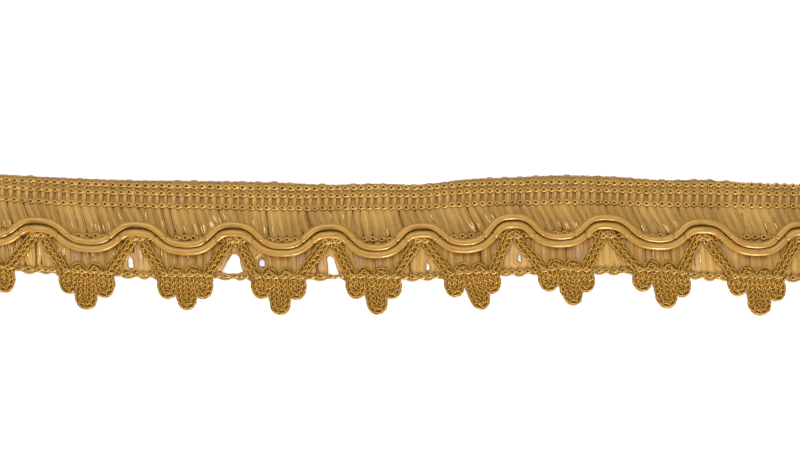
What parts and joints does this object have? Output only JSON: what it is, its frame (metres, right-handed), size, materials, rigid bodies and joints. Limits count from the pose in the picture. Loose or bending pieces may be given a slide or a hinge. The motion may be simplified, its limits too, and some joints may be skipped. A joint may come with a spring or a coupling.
{
  "type": "gimp braid trim",
  "caption": "Flat gold upholstery braid trim: knitted heading band, a pair of wavy satin cords and a looped openwork lower edge, laid face up.",
  "frame": {"origin": "on the underside of the band, near the middle of its length and of its width", "axes": "+X along the trim, +Y across it towards the heading's straight edge, +Z out of its face"},
  "size_m": [0.256, 0.0381, 0.0032],
  "materials": {
    "ground": "flat gold viscose wefts held by rows of twisted chain stitch, with a soft sheen",
    "gimp_cord": "satin filament wrapped closely round a core, smooth and glossy",
    "chainette": "openwork knitted cord of shiny twisted yarn with dark gaps between its stitches"
  },
  "bodies": {
    "root": {"band": "ground", "cord_upper": "gimp_cord", "cord_lower": "gimp_cord", "chainette": "chainette"}
  },
  "joints": []
}
